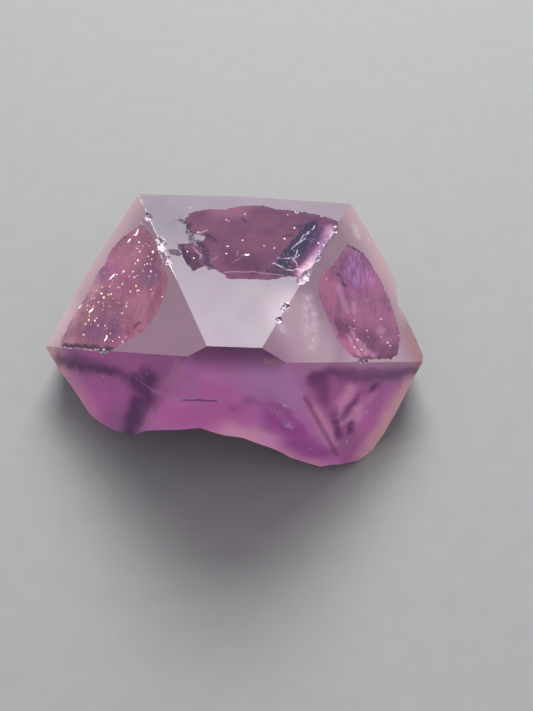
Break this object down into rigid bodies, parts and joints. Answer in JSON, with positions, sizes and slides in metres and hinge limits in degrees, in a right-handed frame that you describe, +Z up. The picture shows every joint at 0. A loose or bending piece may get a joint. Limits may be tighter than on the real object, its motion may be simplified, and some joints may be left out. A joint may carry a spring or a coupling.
{
  "type": "amethyst point",
  "caption": "Violet quartz crystal tip with matt ground faces, glassy natural patches and a broken underside that it rests on, as a mineral specimen or ornament.",
  "frame": {"origin": "middle of the footprint, on the surface that the stone rests on", "axes": "+Z up, +Y away from the nearly upright front face, +X to the right seen from the front; the crystal's axis leans 39.7 degrees from +Z towards -Y"},
  "size_m": [0.0634, 0.0546, 0.0341],
  "materials": {
    "amethyst": "ground matt faces, glassy natural patches and shell-shaped breaks in see-through violet quartz"
  },
  "bodies": {
    "root": {"amethyst_point": "amethyst"}
  },
  "joints": []
}
